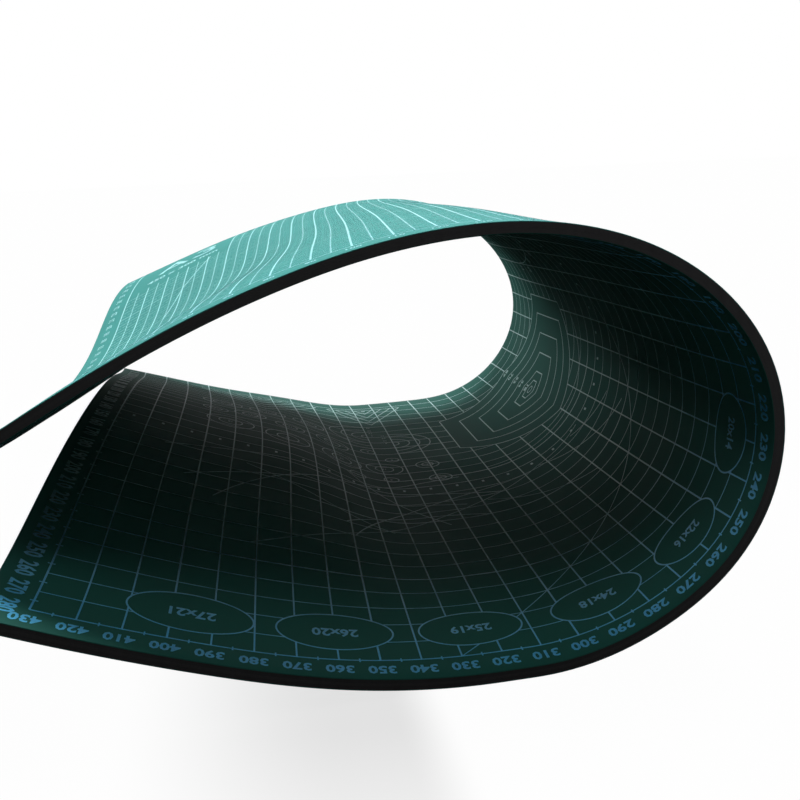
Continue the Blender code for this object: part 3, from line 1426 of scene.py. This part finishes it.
@dataclass
class OuterPrint(FacePrint):
    """Everything printed on the outer face."""

    grid: GridPrint = field(
        default_factory=lambda: GridPrint(heavy_width=0.54, line_width=0.50, cross_width=0.30)
    )
    dash_length: float = 1.7
    dash_pitch: float = 2.5
    across_dash_width: float = 0.42
    along_dash_width: float = 0.30
    numeral_column: float = 5.0
    numeral_height: float = 2.4
    numeral_weight: float = 0.05
    guide_width: float = 0.46
    guide_lines: tuple[tuple[Pair, Pair], ...] = (
        ((51, 246), (40, 205)),
        ((40, 205), (35, 160)),
        ((150, 10), (439, 299)),
        ((439, 10), (150, 299)),
    )

    # Two large letters, drawn by their strokes, over one line of words
    heading_centre: Pair = (35.0, 280.0)
    heading_reach: Pair = (24.5, 32.0)
    letter_stroke: float = 2.6
    letter_bar_share: float = 0.9
    letter_legs: tuple[Pair, ...] = ((23.5, 267.0), (30.0, 281.0), (36.5, 267.0))
    letter_bar: tuple[Pair, Pair] = ((26.3, 271.4), (33.7, 271.4))
    numeral_bows: tuple[tuple[Pair, Pair, Pair], ...] = (
        ((45.0, 277.8), (4.4, 3.5), (-95, 150)),
        ((45.0, 270.4), (5.0, 4.2), (-150, 95)),
    )
    heading_words: str = "450 x 300 mm"
    heading_words_place: Pair = (36.0, 257.0)
    heading_text: Triple = (4.6, 0.92, 0.16)

    def blanks(self) -> list[Blank]:
        """Area of this face without grid lines."""
        return [Blank(self.heading_centre, self.heading_reach)]

    def draw_heading(self) -> FlatInk:
        """Draws the heading.

        Returns:
            Two large letters over the size of the sheet.
        """
        ink = FlatInk()
        stroke = self.letter_stroke
        ink.polygon(np.array(self.letter_legs), stroke, closed=False)
        ink.line(*self.letter_bar, stroke * self.letter_bar_share)
        for centre, radii, angles in self.numeral_bows:
            ink.arc(centre, radii, angles, stroke)
        ink.text(self.heading_words, self.heading_words_place, self.words(self.heading_text))
        return ink

    def draw_numerals(self) -> FlatInk:
        """Draws the numbers, smaller than those of the inner face.

        Returns:
            The numbers of both scales.
        """
        sizes = {"height": self.numeral_height, "weight": self.numeral_weight}
        face, column = self.printed.face, self.numeral_column
        return Numerals(face, self.grid, column_place=column, **sizes).draw()

    def draw_dashes(self, place: float, start: float, end: float, along: bool) -> FlatInk:
        """One dashed line.

        Args:
            place: place of the line, across the mat for one that runs along it.
            start: where the line starts.
            end: where the line ends.
            along: whether the line runs along the mat, and not across.

        Returns:
            The dashes as flat ink.
        """
        ink = FlatInk()
        half, margin = self.dash_length / 2, self.grid.margin
        first = margin + self.dash_pitch / 2
        for middle in np.arange(first, self.grid.length - margin, self.dash_pitch):
            if not start < middle < end:
                continue
            low, high = middle - half, middle + half
            if along:
                ink.line((low, place), (high, place), self.along_dash_width)
            else:
                ink.line((place, low), (place, high), self.across_dash_width)
        return ink

    def build(self) -> None:
        """Prints the face, one piece after the other."""
        show, grid, dashes = self.printed.show, self.grid, self.draw_dashes
        pitch, near = grid.pitch, grid.margin
        far, last, half = grid.width - grid.far_inset, grid.length - near, pitch / 2
        heading_near = self.heading_centre[1] - self.heading_reach[1]
        heading_end = self.heading_centre[0] + self.heading_reach[0]
        columns, beside = round((last - near) / pitch), round((last - heading_end) / pitch)
        rows, far_rows = int((heading_near - near) / pitch), int((far - heading_near) / pitch)
        show("outer_grid_lines", grid.draw(self.blanks()))
        across = dashes(near + half, near, heading_near, along=False)
        show("outer_dashes_across", across, columns, (pitch, 0))
        across = dashes(last - half, heading_near, far, along=False)
        show("outer_dashes_far", across, beside, (-pitch, 0))
        along = dashes(near + half, near, last, along=True)
        show("outer_dashes_along", along, rows, (0, pitch))
        along = dashes(near + pitch * rows + half, heading_end, last, along=True)
        show("outer_dashes_beside", along, far_rows, (0, pitch))
        show("outer_numerals", self.draw_numerals())
        show("outer_angle_lines", self.draw_angle_lines())
        show("outer_heading", self.draw_heading())
        self.printed.clear()


# Surroundings
@dataclass
class Studio:
    """Pale floor, soft lights and the camera at the picture's viewing angle."""

    floor_reach: float = 30.0
    floor_drop: float = 0.0001
    # Grey for camera rays, which keeps the painted shadow patch grey where lit; the glow makes the
    # rest white
    floor_colour: Triple = (0.45, 0.45, 0.45)
    floor_bounce: Triple = (0.03, 0.03, 0.03)
    floor_glow: float = 0.985
    # Glow and sides of the painted shadow patch by the belly
    shadow_glow: float = 0.74
    shadow_sides: tuple[tuple[str, float, float], ...] = (
        ("X", -0.070, -0.018),
        ("X", 0.006, -0.008),
        ("Y", 0.060, -0.060),
    )
    world_light: Triple = (0.85, 0.94, 1.0)
    world_strength: float = 0.003

    # Direction from the mat to each light, its strength and its width in degrees
    lights: tuple[tuple[str, Triple, float, float], ...] = (
        ("top_light", (0.50, 0.44, 1.0), 3.6, 20.0),
        ("front_light", (-0.10, -0.30, 1.0), 0.36, 30.0),
        ("rear_light", (-0.85, 0.36, 0.08), 2.0, 30.0),
    )
    camera_place: Triple = (-0.036112, -0.381573, 0.117062)
    yaw: float = 0.1511666
    pitch: float = 0.2099580
    roll: float = -0.0447004
    focal_pixels: float = 1079.317
    frame_pixels: float = 800.0
    sensor: float = 36.0
    clip: Pair = (0.01, 60.0)

    def build_floor(self) -> None:
        """Pale floor, white but for a patch by the belly: a painted shadow that also keeps the
        mat's cast shadow.
        """
        r, z = self.floor_reach, -self.floor_drop
        corners = np.array([(-r, -r, z), (r, -r, z), (r, r, z), (-r, r, z)])
        floor = new_object("studio_floor", corners, [(0, 1, 2, 3)])
        m = MaterialNodes("pale_floor")
        seen = m.add("LightPath").outputs["Is Camera Ray"]
        tone = m.ramp(seen, [(0.0, self.floor_bounce), (1.0, self.floor_colour)])
        diffuse = m.add("BsdfDiffuse", {"Color": tone})
        glow = m.add("Emission", {"Color": WHITE, "Strength": 1.0})
        share = m.add("Math", {0: seen, 1: self.glow_share(m)}, operation="MULTIPLY")
        mixed = m.add("MixShader", {"Fac": share, 1: diffuse, 2: glow})
        floor.data.materials.append(m.finish(mixed))

    def glow_share(self, m: MaterialNodes) -> bpy.types.Node:
        """How much of the floor glows: less in a patch by the belly, a painted shadow that stays
        grey where lit and also keeps the mat's cast shadow.

        Args:
            m: node tree of the floor.

        Returns:
            Node with the share.
        """
        place = m.add("SeparateXYZ", {"Vector": m.add("TexCoord").outputs["Object"]}).outputs
        depth: Source | float = 1.0
        for axis, clear, shadowed in self.shadow_sides:
            low, high = sorted((clear, shadowed))
            reach = {"Value": place[axis], "From Min": low, "From Max": high}
            ends = {"To Min": float(low == shadowed), "To Max": float(high == shadowed)}
            side = m.add("MapRange", {**reach, **ends}, interpolation_type="SMOOTHSTEP")
            depth = m.add("Math", {0: depth, 1: side}, operation="MULTIPLY")
        drop = self.shadow_glow - self.floor_glow
        return m.add("Math", {0: depth, 1: drop, 2: self.floor_glow}, operation="MULTIPLY_ADD")

    def build_world(self) -> None:
        """White background, with a dimmer even light from all round."""
        world = bpy.data.worlds.new("studio_world")
        world.use_nodes = True
        nodes = NodeTree(world.node_tree)
        nodes.tree.nodes.clear()
        path = nodes.add("LightPath").outputs
        rays = {0: path["Is Camera Ray"], 1: path["Is Glossy Ray"]}
        seen = nodes.add("Math", rays, operation="MAXIMUM")
        white = nodes.add("Background", {"Color": WHITE, "Strength": 1.0})
        light = {"Color": (*self.world_light, 1.0), "Strength": self.world_strength}
        mixed = nodes.add("MixShader", {"Fac": seen, 1: nodes.add("Background", light), 2: white})
        nodes.add("OutputWorld", {"Surface": mixed})
        bpy.context.scene.world = world

    def add_sun(self, name: str, towards: Triple, strength: float, spread: float) -> None:
        """Soft light that falls evenly from one side.

        Args:
            name: name of the light.
            towards: direction from the mat to the light.
            strength: irradiance in watts on a square metre.
            spread: width of the light as an angle in degrees.
        """
        sun = bpy.data.lights.new(name, "SUN")
        sun.energy = strength
        sun.angle = math.radians(spread)
        holder = add_object(name, sun)
        holder.rotation_euler = Vector(towards).to_track_quat("Z", "Y").to_euler()

    def build_camera(self) -> None:
        """Camera at the picture's viewing angle."""
        sin_yaw, cos_yaw = math.sin(self.yaw), math.cos(self.yaw)
        sin_pitch, cos_pitch = math.sin(self.pitch), math.cos(self.pitch)
        ahead = Vector((sin_yaw * cos_pitch, cos_yaw * cos_pitch, -sin_pitch))
        level_right = Vector((cos_yaw, -sin_yaw, 0.0))
        level_up = level_right.cross(ahead)
        right = level_right * math.cos(self.roll) + level_up * math.sin(self.roll)
        up = level_up * math.cos(self.roll) - level_right * math.sin(self.roll)
        camera = bpy.data.cameras.new("camera")
        camera.sensor_width = self.sensor
        camera.sensor_fit = "HORIZONTAL"
        camera.lens = self.focal_pixels / self.frame_pixels * self.sensor
        camera.clip_start, camera.clip_end = self.clip
        holder = add_object("camera", camera)
        turn = Matrix((right, up, -ahead)).transposed()
        holder.matrix_world = Matrix.Translation(self.camera_place) @ turn.to_4x4()
        bpy.context.scene.camera = holder

    def build(self) -> None:
        """Sets up everything around the mat."""
        bpy.context.scene.view_settings.view_transform = "Standard"
        self.build_floor()
        self.build_world()
        self.build_camera()
        for light in self.lights:
            self.add_sun(*light)


def main() -> None:
    """Builds the mat, its print and its surroundings."""
    logging.basicConfig(level=logging.INFO, format="%(name)s: %(message)s")
    sheet = CurledSheet()
    stack = PlyStack(sheet)
    stack.build()
    tree = PrintTree()
    # Each ink's first colour is a painted tint of the light at the near edge, and its second a
    # painted sheen deeper in.
    blue = InkFinish("blue_screen_ink", (0.100, 0.560, 1.000), (0.500, 0.700, 0.700)).build()
    pale = InkFinish("pale_screen_ink", (0.360, 0.850, 1.000), (0.420, 0.900, 1.000)).build()
    height = stack.face_height()
    InnerPrint(PrintedFace(sheet, Face.INNER, height, "inner_grid_print", tree, blue)).build()
    OuterPrint(PrintedFace(sheet, Face.OUTER, height, "outer_grid_print", tree, pale)).build()
    Studio().build()


if __name__ == "__main__":
    main()
